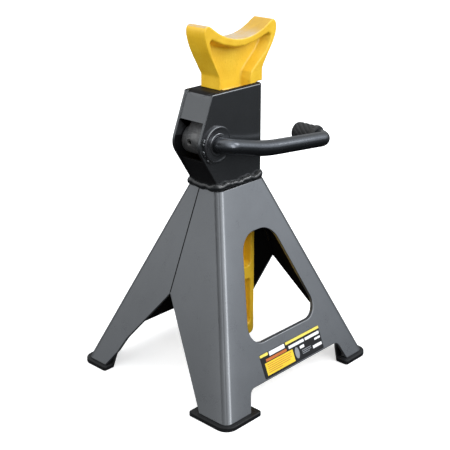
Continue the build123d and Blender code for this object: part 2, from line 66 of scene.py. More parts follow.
# ----------------------------------------------------------------------------
# node helpers
# ----------------------------------------------------------------------------
class Tree:
    """Small helper round a node tree."""

    def __init__(self, tree):
        self.t = tree
        self.t.nodes.clear()

    def add(self, kind, **values):
        n = self.t.nodes.new(kind)
        for k, v in values.items():
            setattr(n, k, v)
        return n

    def link(self, a, b):
        self.t.links.new(a, b)

    def put(self, socket, value):
        if isinstance(value, bpy.types.NodeSocket):
            self.t.links.new(value, socket)
        else:
            socket.default_value = value

    def math(self, op, a, b=0.0, c=0.0, clamp=False):
        n = self.add("ShaderNodeMath", operation=op, use_clamp=clamp)
        for s, v in zip(n.inputs, (a, b, c)):
            self.put(s, v)
        return n.outputs[0]

    def ramp(self, x, lo, hi, to_lo=0.0, to_hi=1.0, kind="SMOOTHSTEP"):
        n = self.add("ShaderNodeMapRange", interpolation_type=kind)
        for s, v in zip(n.inputs, (x, lo, hi, to_lo, to_hi)):
            self.put(s, v)
        return n.outputs[0]

    def noise(self, vec, scale, detail=2.0, rough=0.5, distortion=0.0):
        n = self.add("ShaderNodeTexNoise")
        self.link(vec, n.inputs["Vector"])
        n.inputs["Scale"].default_value = scale
        n.inputs["Detail"].default_value = detail
        n.inputs["Roughness"].default_value = rough
        n.inputs["Distortion"].default_value = distortion
        return n.outputs["Fac"]

    def voronoi(self, vec, scale, feature="F1", out="Distance", smooth=None, randomness=1.0):
        n = self.add("ShaderNodeTexVoronoi", feature=feature)
        self.link(vec, n.inputs["Vector"])
        n.inputs["Scale"].default_value = scale
        n.inputs["Randomness"].default_value = randomness
        if smooth is not None:
            n.inputs["Smoothness"].default_value = smooth
        return n.outputs[out]

    def mix(self, fac, a, b, blend="MIX"):
        n = self.add("ShaderNodeMix", data_type="RGBA", blend_type=blend)
        self.put(n.inputs[0], fac)
        self.put(n.inputs[6], a)
        self.put(n.inputs[7], b)
        return n.outputs[2]

    def scaled(self, vec, sx, sy, sz, rot=(0, 0, 0)):
        n = self.add("ShaderNodeMapping")
        self.link(vec, n.inputs["Vector"])
        n.inputs["Scale"].default_value = (sx, sy, sz)
        n.inputs["Rotation"].default_value = rot
        return n.outputs[0]

    def bump(self, height, strength, distance, normal=None):
        n = self.add("ShaderNodeBump")
        self.put(n.inputs["Height"], height)
        n.inputs["Strength"].default_value = strength
        n.inputs["Distance"].default_value = distance
        if normal is not None:
            self.link(normal, n.inputs["Normal"])
        return n.outputs[0]


def rgb(r, g, b):
    return (r, g, b, 1.0)


def new_material(name):
    m = bpy.data.materials.new(name)
    m.use_nodes = True
    t = Tree(m.node_tree)
    out = t.add("ShaderNodeOutputMaterial")
    bsdf = t.add("ShaderNodeBsdfPrincipled")
    t.link(bsdf.outputs[0], out.inputs["Surface"])
    coord = t.add("ShaderNodeTexCoord").outputs["Object"]
    return m, t, bsdf, coord


def fold_bend(t, co):
    """Height of the sheet beside a corner fold: it eases back over the last centimetre before the bend."""
    sep = t.add("ShaderNodeSeparateXYZ")
    t.link(co, sep.inputs[0])
    x, y, z = sep.outputs
    dx = t.math("SUBTRACT", t.math("MULTIPLY_ADD", z, -SLX, (84.3 + SLX * 4.6) * MM), t.math("ABSOLUTE", x))
    dy = t.math("SUBTRACT", t.math("MULTIPLY_ADD", z, -SLY, (80.0 + SLY * 4.6) * MM), t.math("ABSOLUTE", y))
    far = t.math("MAXIMUM", dx, dy)
    return t.math("EXPONENT", t.math("MULTIPLY", far, -1.0 / 0.0065))


def gunmetal(name, base, rough, bend=0.0, grain=1.0, metal=0.9):
    m, t, b, co = new_material(name)
    cloud = t.noise(co, 9.0, 3.0, 0.55)
    mottle = t.noise(co, 70.0, 4.0, 0.6)
    flake = t.voronoi(co, 2600.0, out="Color")
    peel = t.noise(co, 900.0, 2.0, 0.5)
    grit = t.noise(co, 3200.0, 1.0, 0.5)
    tone = t.math("ADD", t.ramp(cloud, 0.3, 0.7, -0.07, 0.07, "LINEAR"), t.ramp(mottle, 0.3, 0.7, -0.025, 0.025, "LINEAR"))
    hsv = t.add("ShaderNodeSeparateColor")
    t.link(flake, hsv.inputs[0])
    sparkle = t.ramp(hsv.outputs[0], 0.0, 1.0, -0.04 * grain, 0.045 * grain, "LINEAR")
    value = t.math("ADD", 1.0, t.math("ADD", tone, sparkle))
    col = t.add("ShaderNodeMix", data_type="RGBA", blend_type="MULTIPLY")
    col.inputs[0].default_value = 1.0
    t.put(col.inputs[6], rgb(*base))
    comb = t.add("ShaderNodeCombineColor")
    for i in range(3):
        t.link(value, comb.inputs[i])
    t.link(comb.outputs[0], col.inputs[7])
    t.link(col.outputs[2], b.inputs["Base Color"])
    b.inputs["Metallic"].default_value = metal
    t.link(t.math("ADD", t.ramp(mottle, 0.3, 0.7, rough - 0.015, rough + 0.015, "LINEAR"), t.ramp(grit, 0.3, 0.7, -0.02, 0.02, "LINEAR")), b.inputs["Roughness"])
    b.inputs["Coat Weight"].default_value = 0.25
    b.inputs["Coat Roughness"].default_value = 0.14
    n0 = None
    if bend:
        n = t.add("ShaderNodeBump")
        t.link(t.math("MULTIPLY", fold_bend(t, co), -1.0), n.inputs["Height"])
        n.inputs["Strength"].default_value = 1.0
        n.inputs["Distance"].default_value = bend
        n0 = n.outputs[0]
    n1 = t.bump(peel, 0.05 * grain, 0.0004, n0)
    n2 = t.bump(grit, 0.03 * grain, 0.0002, n1)
    t.link(n2, b.inputs["Normal"])
    t.link(n1, b.inputs["Coat Normal"])
    return m


def satin_black(name="satin_black_paint", base=(0.012, 0.0125, 0.0135), rough=0.28, bump=0.10, spec=0.16, coat=0.0):
    m, t, b, co = new_material(name)
    mottle = t.noise(co, 60.0, 4.0, 0.6)
    peel = t.noise(co, 700.0, 2.0, 0.5)
    grit = t.noise(co, 2600.0, 2.0, 0.6)
    dust = t.ramp(t.noise(co, 140.0, 5.0, 0.7), 0.52, 0.75, 0.0, 0.35)
    t.link(t.mix(dust, rgb(*base), rgb(base[0] * 2.4, base[1] * 2.4, base[2] * 2.35)), b.inputs["Base Color"])
    t.link(t.ramp(mottle, 0.3, 0.7, rough - 0.05, rough + 0.09, "LINEAR"), b.inputs["Roughness"])
    b.inputs["Specular IOR Level"].default_value = spec
    b.inputs["Coat Weight"].default_value = coat
    b.inputs["Coat Roughness"].default_value = rough * 0.7
    n1 = t.bump(peel, bump, 0.0005)
    n2 = t.bump(grit, bump * 0.6, 0.0003, n1)
    t.link(n2, b.inputs["Normal"])
    t.link(n1, b.inputs["Coat Normal"])
    return m


def yellow_paint():
    m, t, b, co = new_material("yellow_paint_on_casting")
    cast = t.noise(co, 520.0, 4.0, 0.6)
    lump = t.noise(co, 95.0, 3.0, 0.5)
    mottle = t.noise(co, 38.0, 4.0, 0.6)
    pits = t.ramp(t.voronoi(co, 420.0), 0.0, 0.22, 0.0, 1.0)
    base = t.mix(t.ramp(mottle, 0.35, 0.68), rgb(0.84, 0.50, 0.022), rgb(0.92, 0.585, 0.036))
    base = t.mix(t.math("MULTIPLY", t.ramp(cast, 0.56, 0.72, 0.0, 1.0), 0.35), base, rgb(0.62, 0.33, 0.012))
    # the cradle is painted pale where things have rested on it: partly wear, partly a painted reflection of the
    # overhead light
    sep = t.add("ShaderNodeSeparateXYZ")
    t.link(co, sep.inputs[0])
    nrm = t.add("ShaderNodeSeparateXYZ")
    t.link(t.add("ShaderNodeTexCoord").outputs["Normal"], nrm.inputs[0])
    low = t.ramp(t.math("ADD", sep.outputs[2], t.math("MULTIPLY", sep.outputs[0], 0.22)), 0.2735, 0.2855, 1.0, 0.0)
    up_face = t.math("MULTIPLY", t.ramp(nrm.outputs[2], 0.55, 0.85), t.ramp(sep.outputs[2], 0.268, 0.271))
    rub = t.noise(t.scaled(co, 1.0, 2.2, 1.0), 85.0, 5.0, 0.62, 0.4)
    wear_and_painted_sheen = t.math("MULTIPLY", t.math("MULTIPLY", up_face, low), t.ramp(rub, 0.15, 0.72), clamp=True)
    # upward faces of the cradle painted a darker brown: painted shade on the tops
    base = t.mix(t.math("MULTIPLY", up_face, t.ramp(rub, 0.2, 0.8, 0.50, 0.85, "LINEAR")), base, rgb(0.50, 0.285, 0.04))
    base = t.mix(wear_and_painted_sheen, base, rgb(0.60, 0.54, 0.46))
    t.link(base, b.inputs["Base Color"])
    t.link(t.ramp(cast, 0.3, 0.7, 0.36, 0.52, "LINEAR"), b.inputs["Roughness"])
    b.inputs["Coat Weight"].default_value = 0.15
    b.inputs["Coat Roughness"].default_value = 0.25
    n1 = t.bump(lump, 0.25, 0.0012)
    n2 = t.bump(cast, 0.30, 0.0005, n1)
    n3 = t.bump(pits, 0.12, 0.0004, n2)
    t.link(n3, b.inputs["Normal"])
    return m


def rubber():
    m, t, b, co = new_material("black_rubber")
    mottle = t.noise(co, 160.0, 4.0, 0.6)
    grain = t.noise(co, 2400.0, 3.0, 0.7)
    t.link(t.mix(t.ramp(mottle, 0.4, 0.7), rgb(0.011, 0.011, 0.012), rgb(0.020, 0.020, 0.021)), b.inputs["Base Color"])
    t.link(t.ramp(mottle, 0.3, 0.7, 0.52, 0.68, "LINEAR"), b.inputs["Roughness"])
    t.link(t.bump(grain, 0.35, 0.0003), b.inputs["Normal"])
    return m


def bare_steel():
    m, t, b, co = new_material("zinc_plated_steel")
    mottle = t.noise(co, 220.0, 4.0, 0.6)
    scratch = t.noise(t.scaled(co, 1.0, 14.0, 1.0), 900.0, 2.0, 0.6)
    t.link(t.mix(t.ramp(mottle, 0.35, 0.7), rgb(0.36, 0.36, 0.35), rgb(0.52, 0.51, 0.48)), b.inputs["Base Color"])
    b.inputs["Metallic"].default_value = 1.0
    t.link(t.ramp(scratch, 0.3, 0.7, 0.26, 0.46, "LINEAR"), b.inputs["Roughness"])
    t.link(t.bump(scratch, 0.08, 0.0002), b.inputs["Normal"])
    return m


def cast_iron():
    m, t, b, co = new_material("oiled_cast_iron")
    mottle = t.noise(co, 180.0, 4.0, 0.6)
    grain = t.noise(co, 1300.0, 4.0, 0.65)
    t.link(t.mix(t.ramp(mottle, 0.35, 0.7), rgb(0.105, 0.107, 0.11), rgb(0.185, 0.185, 0.185)), b.inputs["Base Color"])
    b.inputs["Metallic"].default_value = 0.75
    t.link(t.ramp(grain, 0.3, 0.7, 0.34, 0.52, "LINEAR"), b.inputs["Roughness"])
    b.inputs["Coat Weight"].default_value = 0.2
    b.inputs["Coat Roughness"].default_value = 0.2
    t.link(t.bump(grain, 0.35, 0.0004), b.inputs["Normal"])
    return m


def vinyl(name, base):
    m, t, b, co = new_material(name)
    mottle = t.noise(co, 130.0, 3.0, 0.6)
    grain = t.noise(co, 1800.0, 2.0, 0.6)
    lo = rgb(*[c * 0.93 for c in base])
    hi = rgb(*[min(1.0, c * 1.06) for c in base])
    t.link(t.mix(t.ramp(mottle, 0.35, 0.68), lo, hi), b.inputs["Base Color"])
    t.link(t.ramp(grain, 0.3, 0.7, 0.30, 0.40, "LINEAR"), b.inputs["Roughness"])
    b.inputs["Specular IOR Level"].default_value = 0.30
    t.link(t.bump(grain, 0.05, 0.0002), b.inputs["Normal"])
    return m


GUN = gunmetal("gunmetal_powder_coat", (0.145, 0.152, 0.161), 0.30, 0.0013, metal=0.68)
HOUSING = gunmetal("charcoal_powder_coat", (0.120, 0.125, 0.131), 0.24)
# near-black for the shell and housing interiors, the panel below the pawl and the housing's top edges: painted shade
PAINTED_SHADE_BLACK = satin_black("painted_shade_black_inside", (0.006, 0.006, 0.0065), 0.55, 0.20)
PAINTED_SHADE_BLACK.node_tree.nodes["Principled BSDF"].inputs["Specular IOR Level"].default_value = 0.15
PAINTED_SHADE_BLACK.node_tree.nodes["Principled BSDF"].inputs["Coat Weight"].default_value = 0.0
BLACK = satin_black()
WELD = satin_black("glossy_black_over_weld", (0.010, 0.011, 0.012), 0.24, 0.06, 0.60, 0.15)
LEVER = gunmetal("black_lever_paint", (0.075, 0.081, 0.090), 0.25, grain=0.3)
YELLOW = yellow_paint()
RUBBER = rubber()
STEEL = bare_steel()
CAST = cast_iron()

# ----------------------------------------------------------------------------
# sheet and machined pieces: the CAD body with its cut edges broken
# ----------------------------------------------------------------------------
def new_object(name, bm, materials, smooth_angle=35.0, weighted=True):
    me = bpy.data.meshes.new(name)
    bmesh.ops.recalc_face_normals(bm, faces=bm.faces)
    bm.to_mesh(me)
    bm.free()
    for p in me.polygons:
        p.use_smooth = True
    me.set_sharp_from_angle(angle=math.radians(smooth_angle))
    o = bpy.data.objects.new(name, me)
    for m in materials:
        me.materials.append(m)
    scene.collection.objects.link(o)
    if weighted:
        mod = o.modifiers.new("weighted_normals", "WEIGHTED_NORMAL")
        mod.keep_sharp = True
        mod.weight = 60
    return o


def stand_in(o, body, node):
    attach(o, body)
    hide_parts(node)
    return o


def cad_bmesh(node):
    bm = bmesh.new()
    bm.from_mesh(NODES[node].data)
    bm.transform(NODES[node].matrix_world)
    for f in bm.faces:
        f.material_index = 0
    bmesh.ops.remove_doubles(bm, verts=bm.verts, dist=2e-6)
    bmesh.ops.dissolve_degenerate(bm, edges=bm.edges, dist=1e-6)
    bmesh.ops.dissolve_limit(bm, angle_limit=math.radians(0.5), verts=bm.verts, edges=bm.edges)
    return bm


def in_shell(c, n):
    """A face on the inner side of the folded sheet, which gets the near-black painted shade, or in the groove where the
    two halves meet, drawn as a dark joint.
    """
    z = c.z / MM
    if abs(c.y + 0.118 * c.x) < 0.46 * MM and abs(c.x) > 20.0 * MM:
        return True
    depth = min(half_x(z) - abs(c.x / MM), half_y(z) - abs(c.y / MM))
    return depth > 2.2 and n.x * c.x + n.y * c.y < 0


def in_chamber(c, n):
    """A face inside the housing or on the panel below the pawl, or the cut top edge of its plates; all get the
    near-black painted shade, the top edges in place of their sky reflection.
    """
    if (n.z > 0.7 and c.z > 233.0 * MM) or (n.z > 0.2 and c.z > 235.3 * MM):
        return True
    if c.z < 184.0 * MM and n.x < -0.4 and n.z < -0.2 and abs(c.y) < 14.0 * MM:
        return True
    return abs(c.y) < 12.62 * MM and c.z < 213.2 * MM and c.x < 24.2 * MM


def broken_edges(node, body, material, width, segments=3, angle=32.0, inside=None):
    bm = cad_bmesh(node)
    lim = math.radians(angle)
    edges = [e for e in bm.edges if len(e.link_faces) == 2 and e.calc_face_angle(0.0) > lim]
    bmesh.ops.bevel(bm, geom=edges, offset=width * MM, offset_type="OFFSET", segments=segments, profile=0.5,
                    affect="EDGES", clamp_overlap=False, miter_outer="SHARP", loop_slide=True)
    bmesh.ops.remove_doubles(bm, verts=bm.verts, dist=2e-6)
    if inside is not None:
        bm.normal_update()
        for f in bm.faces:
            if inside(f.calc_center_median(), f.normal):
                f.material_index = 1
    o = new_object(node + "_form", bm, [material] if inside is None else [material, PAINTED_SHADE_BLACK], 38.0)
    return stand_in(o, body, node)


def half_x(z):
    return 84.3 - SLX * (z - 4.6)


def half_y(z):
    return 80.0 - SLY * (z - 4.6)


broken_edges("base_front_shell", "stand", GUN, 0.55, inside=in_shell)
broken_edges("base_rear_shell", "stand", GUN, 0.55, inside=in_shell)
broken_edges("ratchet_housing", "stand", HOUSING, 0.45, inside=in_chamber)
for n in ("bar_guide_front", "bar_guide_rear"):
    broken_edges(n, "stand", HOUSING, 0.30, 2)
for n in ("foot_front_left", "foot_front_right", "foot_rear_left", "foot_rear_right"):
    broken_edges(n, "stand", BLACK, 0.40, 2)
broken_edges("pawl", "handle", CAST, 0.50, 3)
broken_edges("pawl_roll_pin", "handle", STEEL, 0.16, 2)
broken_edges("shaft_retaining_ring", "handle", STEEL, 0.18, 2)


# ----------------------------------------------------------------------------
# the casting: rounded all over and slightly uneven, as it left the sand
# ----------------------------------------------------------------------------
def casting(node, body, material, voxel, rounds, uneven):
    bm = cad_bmesh(node)
    me = bpy.data.meshes.new(node + "_tmp")
    bm.to_mesh(me)
    bm.free()
    tmp = bpy.data.objects.new(node + "_tmp", me)
    scene.collection.objects.link(tmp)
    mod = tmp.modifiers.new("remesh", "REMESH")
    mod.mode = "VOXEL"
    mod.voxel_size = voxel * MM
    mod.adaptivity = 0.0
    sm = tmp.modifiers.new("round", "SMOOTH")
    sm.factor = 0.5
    sm.iterations = rounds
    dg = bpy.context.evaluated_depsgraph_get()
    out = bpy.data.meshes.new_from_object(tmp.evaluated_get(dg))
    bpy.data.objects.remove(tmp)
    bm = bmesh.new()
    bm.from_mesh(out)
    bm.normal_update()
    for v in bm.verts:
        a = noise.noise(v.co * 55.0)
        b = noise.noise(v.co * 190.0 + Vector((3.1, 0.7, 5.2)))
        c = noise.noise(v.co * 620.0 + Vector((1.7, 8.2, 0.4)))
        v.co += v.normal * ((0.5 * a + 0.32 * b + 0.22 * c - 0.55) * uneven * MM)
    o = new_object(node + "_form", bm, [material], 75.0, weighted=False)
    return stand_in(o, body, node)


casting("ratchet_bar", "bar", YELLOW, 0.62, 5, 0.16)


# ----------------------------------------------------------------------------
# turned and swept pieces
# ----------------------------------------------------------------------------
def lathe(profile, segments=128, closed=True):
    """Profile of (along, radius) in mm turned round local Z; returns a bmesh in metres."""
    bm = bmesh.new()
    rings = []
    for a, r in profile:
        if r < 1e-6:
            rings.append([bm.verts.new((0, 0, a * MM))])
        else:
            rings.append([bm.verts.new((r * math.cos(2 * math.pi * i / segments) * MM, r * math.sin(2 * math.pi * i / segments) * MM, a * MM))
                          for i in range(segments)])
    pairs = list(zip(rings, rings[1:]))
    if closed:
        pairs.append((rings[-1], rings[0]))
    for p, q in pairs:
        for i in range(segments):
            j = (i + 1) % segments
            if len(p) == 1 and len(q) == 1:
                continue
            if len(p) == 1:
                bm.faces.new((p[0], q[j], q[i]))
            elif len(q) == 1:
                bm.faces.new((p[i], p[j], q[0]))
            else:
                bm.faces.new((p[i], p[j], q[j], q[i]))
    return bm


def rounded(points, radius, n=5):
    """Round the marked corners (x, y, r) of an open polyline."""
    out = []
    for i, p in enumerate(points):
        r = p[2] if len(p) > 2 else radius
        if i in (0, len(points) - 1) or r <= 0:
            out.append((p[0], p[1]))
            continue
        a, b, c = Vector(points[i - 1][:2]), Vector(p[:2]), Vector(points[i + 1][:2])
        u, v = (a - b).normalized(), (c - b).normalized()
        half = u.angle(v) / 2
        t = min(r / math.tan(half), (a - b).length * 0.49, (c - b).length * 0.49)
        p0, p1 = b + u * t, b + v * t
        for k in range(n + 1):
            s = k / n
            q = p0 * (1 - s) ** 2 + b * 2 * s * (1 - s) + p1 * s ** 2
            out.append((q.x, q.y))
    return out


def frames_along(points, up):
    """Tangent, side and up vectors at each point of a path."""
    out = []
    n = len(points)
    for i in range(n):
        a, b = points[max(i - 1, 0)], points[min(i + 1, n - 1)]
        t = (b - a).normalized()
        side = t.cross(up).normalized()
        out.append((t, side, side.cross(t).normalized()))
    return out


def arc_path(corners, radii, step):
    """Path in metres through corners in mm, bends rounded, evenly spaced by about step mm."""
    pts = [Vector(c) for c in corners]
    out = [pts[0]]
    for i in range(1, len(pts) - 1):
        a, b, c = pts[i - 1], pts[i], pts[i + 1]
        u, v = (a - b).normalized(), (c - b).normalized()
        half = u.angle(v) / 2
        t = radii[i - 1] / math.tan(half)
        centre = b + (u + v).normalized() * (radii[i - 1] / math.sin(half))
        p0, p1 = b + u * t, b + v * t
        m = max(4, int((math.pi - 2 * half) * radii[i - 1] / step))
        e0 = p0 - centre
        e1 = p1 - centre
        ang = e0.angle(e1)
        for k in range(m + 1):
            s = k / m
            w = (e0 * math.sin((1 - s) * ang) + e1 * math.sin(s * ang)) / math.sin(ang)
            out.append(centre + w)
    out.append(pts[-1])
    dense = [out[0]]
    for p in out[1:]:
        d = (p - dense[-1]).length
        if d < 1e-5:
            continue
        m = max(1, int(round(d / step)))
        last = dense[-1]
        for k in range(1, m + 1):
            dense.append(last.lerp(p, k / m))
    return [p * MM for p in dense]


def tube(points, radius_at, up, segments=64, caps=True):
    bm = bmesh.new()
    fr = frames_along(points, up)
    rings = []
    dist = 0.0
    for i, p in enumerate(points):
        if i:
            dist += (p - points[i - 1]).length
        t, s, u = fr[i]
        ring = []
        for k in range(segments):
            a = 2 * math.pi * k / segments
            r = radius_at(dist / MM, a)
            ring.append(bm.verts.new(p + (s * math.cos(a) + u * math.sin(a)) * r * MM))
        rings.append(ring)
    for p, q in zip(rings, rings[1:]):
        for i in range(segments):
            j = (i + 1) % segments
            bm.faces.new((p[i], p[j], q[j], q[i]))
    if caps:
        bm.faces.new(rings[0][::-1])
        bm.faces.new(rings[-1])
    return bm


# lever: one bent bar with the retaining ring's groove and a broken rear end
lever = arc_path([(-26.5, 20.5, 196.5), (-26.5, -25, 196.5), (18.0, -25, 185.4), (96.8, -25, 177.3), (96.8, 5.5, 177.3)], [8.3, 200.0, 8.6], 0.9)
head = []
for d in (0.0, 0.35, 0.7, 1.0, 1.5, 1.58, 1.6, 1.62, 2.2, 2.88, 2.9, 2.92, 3.0):
    head.append(Vector((-26.5, 20.5 - d, 196.5)) * MM)
lever = head + [p for p in lever if p.y < 17.4 * MM or p.x > -26.4 * MM]


def lever_radius(d, a):
    r = 6.35
    if d < 1.0:
        r = 5.35 + math.sqrt(max(0.0, 1 - (1 - d) ** 2)) * 1.0
    elif 1.59 < d < 2.91:
        r = 5.70
    return r + 0.02 * noise.noise(Vector((d * 0.35, math.cos(a) * 2, math.sin(a) * 2)))


bm = tube(lever, lever_radius, Vector((0.02, 0.03, 1)), 72)
stand_in(new_object("handle_shaft_form", bm, [LEVER], 50.0, weighted=False), "handle", "handle_shaft")

# grip: moulded sleeve with a slanted rib pattern, a collar and a closed end
bm = bmesh.new()
GR, GSEG = 8.55, 216
ys = [(-15.8, 6.36), (-15.8, 8.2), (-15.65, 8.7), (-15.2, 9.05), (-14.6, 9.15), (-13.2, 9.15), (-12.4, 9.10), (-11.9, 8.9), (-11.55, 8.55), (-11.35, 8.2), (-11.1, 8.05)]
y = -10.9
while y < 4.95:
    ys.append((y, None))
    y += 0.16
ys += [(5.1, 8.42), (5.6, 8.42), (6.2, 8.30), (6.8, 8.00), (7.3, 7.50), (7.65, 6.9), (7.88, 6.0), (7.97, 4.8), (8.0, 3.4), (8.0, 1.6)]
rings = []
for yy, r0 in ys:
    ring = []
    for k in range(GSEG):
        a = 2 * math.pi * k / GSEG
        if r0 is None:
            edge = min(1.0, (yy + 10.9) / 1.0, (4.95 - yy) / 1.0)
            phase = (a / (2 * math.pi)) * 12 + yy / 5.6
            w = abs((phase % 1.0) - 0.5) * 2
            rib = min(1.0, max(0.0, (w - 0.34) / 0.22))
            rib = rib * rib * (3 - 2 * rib)
            r = 8.06 + max(0.0, edge) * 0.62 * rib
        else:
            r = r0
            if yy < -11.9 and r0 > 6.4:
                r -= 0.28 * max(0.0, math.cos(a * 6)) ** 8
        ring.append(bm.verts.new(Vector((96.8 + r * math.cos(a), yy, 177.3 + r * math.sin(a))) * MM))
    rings.append(ring)
for p, q in zip(rings, rings[1:]):
    for i in range(GSEG):
        j = (i + 1) % GSEG
        bm.faces.new((p[i], p[j], q[j], q[i]))
bm.faces.new(rings[-1])
# bore and its blind end
bore = [bm.verts.new(Vector((96.8 + 6.36 * math.cos(2 * math.pi * k / GSEG), 5.5, 177.3 + 6.36 * math.sin(2 * math.pi * k / GSEG))) * MM) for k in range(GSEG)]
for i in range(GSEG):
    j = (i + 1) % GSEG
    bm.faces.new((rings[0][j], rings[0][i], bore[i], bore[j]))
bm.faces.new(bore)
stand_in(new_object("handle_grip_form", bm, [RUBBER], 60.0, weighted=False), "handle", "handle_grip")


# ----------------------------------------------------------------------------
# weld beads
# ----------------------------------------------------------------------------
def bead_mesh(bm, points, up, radius, pitch, seed, closed=False, flat=1.0, segments=20, wander=0.10, depth=0.16, swell_by=0.12):
    """A stacked bead along points (metres), radius and pitch in mm."""
    n = len(points)
    rings = []
    dist = 0.0
    off = Vector((seed * 3.7, seed * 1.3, seed * 2.1))
    for i, p in enumerate(points):
        if i:
            dist += (p - points[i - 1]).length / MM
        a, b = (points[i - 1], points[(i + 1) % n]) if closed else (points[max(i - 1, 0)], points[min(i + 1, n - 1)])
        t = (b - a).normalized()
        s = t.cross(up).normalized()
        u = s.cross(t).normalized()
        swell = 1.0 + swell_by * noise.noise(off + Vector((dist * 0.11, 0, 0))) + 0.03 * noise.noise(off + Vector((dist * 0.6, 4, 0)))
        shift = noise.noise(off + Vector((dist * 0.16, 9, 0))) * wander * radius
        end = 1.0
        if not closed:
            rest = min(i, n - 1 - i) * (points[1] - points[0]).length / MM
            end = math.sqrt(min(1.0, max(0.02, rest / radius)))
        ring = []
        for k in range(segments):
            ang = 2 * math.pi * k / segments
            phase = dist / pitch + 0.30 * math.cos(ang) ** 2 + 0.25 * noise.noise(off + Vector((dist * 0.2, 2, 7)))
            scallop = abs(math.sin(math.pi * phase)) ** 0.7
            r = radius * swell * end * (1.0 - depth + depth * scallop)
            q = p + (u * shift * MM if end >= 1 else Vector())
            ring.append(bm.verts.new(q + (s * math.cos(ang) * flat + u * math.sin(ang)) * r * MM))
        rings.append(ring)
    pairs = list(zip(rings, rings[1:]))
    if closed:
        pairs.append((rings[-1], rings[0]))
    for p, q in pairs:
        for i in range(segments):
            j = (i + 1) % segments
            bm.faces.new((p[i], p[j], q[j], q[i]))
    if not closed:
        bm.faces.new(rings[0][::-1])
        bm.faces.new(rings[-1])


SH = Vector((-26.5, 0, 196.5)) * MM
for side, name in ((-1, "front_bearing_ring"), (1, "rear_bearing_ring")):
    prof = rounded([(0, 6.40), (2.3, 6.40, 0.5), (2.3, 8.6, 0.25), (2.05, 9.0, 0.25), (2.05, 12.2, 0.2), (2.4, 12.9, 0.3), (2.4, 14.0, 0.55), (1.7, 14.6, 0.5), (0, 14.6)], 0)
    bm = lathe(prof)
    bm.transform(Matrix.Translation(SH + Vector((0, side * 15.0 * MM, 0))) @ Matrix.Rotation(math.radians(-90 * side), 4, "X"))
    # tack welds round part of its rim
    for a0, a1, sd in ((152, 176, 31.0), (188, 214, 33.0), (222, 247, 35.0), (330, 352, 37.0)):
        arc = [SH + Vector((15.0 * math.cos(math.radians(a)), side * 15.3, 15.0 * math.sin(math.radians(a)))) * MM
               for a in [a0 + (a1 - a0) * i / 24 for i in range(25)]]
        bead_mesh(bm, arc, Vector((0, side, 0)), 1.15, 1.9, sd, segments=16, wander=0.2, depth=0.2)
    stand_in(new_object(name + "_form", bm, [HOUSING], 40.0, weighted=False), "stand", name)


def rect_loop(hx, hy, r, z, step):
    pts = []
    for cx, cy, a0 in ((hx - r, hy - r, 0), (-hx + r, hy - r, 90), (-hx + r, -hy + r, 180), (hx - r, -hy + r, 270)):
        m = max(4, int(math.pi / 2 * r / step))
        for k in range(m + 1):
            a = math.radians(a0 + 90 * k / m)
            pts.append(Vector((cx + r * math.cos(a), cy + r * math.sin(a), z)))
    out = []
    n = len(pts)
    for i in range(n):
        a, b = pts[i], pts[(i + 1) % n]
        m = max(1, int(round((b - a).length / step)))
        for k in range(m):
            out.append(a.lerp(b, k / m) * MM)
    return out


bm = bmesh.new()
loop = [p + Vector((-1.1 * MM, 0, 0)) for p in rect_loop(25.1, 15.4, 3.2, 160.6, 0.40)]
bead_mesh(bm, loop, Vector((0, 0, 1)), 2.95, 12.0, 1.0, closed=True, segments=36, wander=0.62, depth=0.13, swell_by=0.36)
stand_in(new_object("neck_weld_form", bm, [WELD], 70.0, weighted=False), "stand", "neck_weld")


def line(a, b, step=0.5):
    a, b = Vector(a), Vector(b)
    m = int((b - a).length / step)
    return [a.lerp(b, k / m) * MM for k in range(m + 1)]


INX, INY = 3.2 * math.sqrt(1 + SLX ** 2), 3.2 * math.sqrt(1 + SLY ** 2)


for side, name in ((-1, "left_seam_weld"), (1, "right_seam_weld")):
    x0, x1 = half_x(92.5) - INX, half_x(147.5) - INX
    bm = bmesh.new()
    bead_mesh(bm, line((side * x0, -side * 0.118 * x0, 92.5), (side * x1, -side * 0.118 * x1, 147.5)), Vector((side, 0, 0)), 2.1, 2.6, 5.0 + side)
    stand_in(new_object(name + "_form", bm, [WELD], 70.0, weighted=False), "stand", name)

bm = bmesh.new()
xi, yi = half_x(3.6) - INX, half_y(3.6) - INY
seed = 20.0
for sx in (-1, 1):
    for sy in (-1, 1):
        bead_mesh(bm, line((sx * (xi - 0.9), sy * 60.5, 4.6), (sx * (xi - 0.9), sy * 70.5, 4.6), 0.4), Vector((0, 0, 1)), 1.9, 2.4, seed, segments=16)
        bead_mesh(bm, line((sx * 61.0, sy * (yi - 0.9), 4.6), (sx * 74.0, sy * (yi - 0.9), 4.6), 0.4), Vector((0, 0, 1)), 1.9, 2.4, seed + 1, segments=16)
        seed += 2.0
stand_in(new_object("foot_welds_form", bm, [WELD], 70.0, weighted=False), "stand", "foot_welds")

# ----------------------------------------------------------------------------
# label: black film with plain bars and blocks printed on it
# ----------------------------------------------------------------------------
INK = {
    "film": vinyl("label_black_film", (0.0065, 0.007, 0.008)),
    "yellow": vinyl("label_yellow_ink", (0.80, 0.56, 0.035)),
    "pale": vinyl("label_pale_yellow_ink", (0.83, 0.68, 0.12)),
    "white": vinyl("label_white_ink", (0.82, 0.83, 0.84)),
    "orange": vinyl("label_orange_ink", (0.50, 0.135, 0.030)),
    "grey": vinyl("label_grey_ink", (0.24, 0.25, 0.27)),
}
INKS = list(INK)
LW, LH = 72.0, 19.4
ny = Vector((0, -1, SLY)).normalized()
lx = Vector((1, 0, 0))
lu = ny.cross(lx).normalized()
L0 = Vector((2.7, -half_y(29.0), 29.0))


